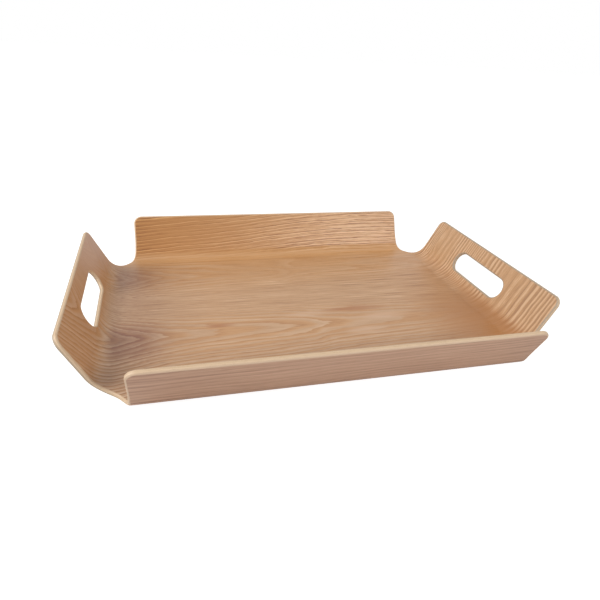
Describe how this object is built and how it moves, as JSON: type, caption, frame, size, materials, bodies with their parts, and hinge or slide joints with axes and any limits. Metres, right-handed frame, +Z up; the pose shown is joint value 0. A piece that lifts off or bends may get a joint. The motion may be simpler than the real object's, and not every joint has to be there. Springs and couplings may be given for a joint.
{
  "type": "serving tray",
  "caption": "Rectangular moulded-plywood serving tray with flared, bent-up walls, round-notched corners and a hand slot in each end wall.",
  "frame": {"origin": "middle of the underside, at the height of the surface the tray stands on", "axes": "+X along the tray's length, towards one hand slot; +Y across its width; +Z up, the way the walls turn"},
  "size_m": [0.4498, 0.3292, 0.0524],
  "materials": {
    "face_veneer": "ash veneer, grain along the tray, satin clear lacquer",
    "cross_ply": "birch ply, grain across the tray, sanded edge",
    "long_ply": "birch ply, grain along the tray, sanded edge",
    "back_veneer": "ash veneer, grain along the tray, satin clear lacquer"
  },
  "bodies": {
    "root": {"face_veneer": "face_veneer", "cross_ply_upper": "cross_ply", "long_ply_upper": "long_ply", "core_ply": "cross_ply", "long_ply_lower": "long_ply", "cross_ply_lower": "cross_ply", "back_veneer": "back_veneer"}
  },
  "joints": []
}
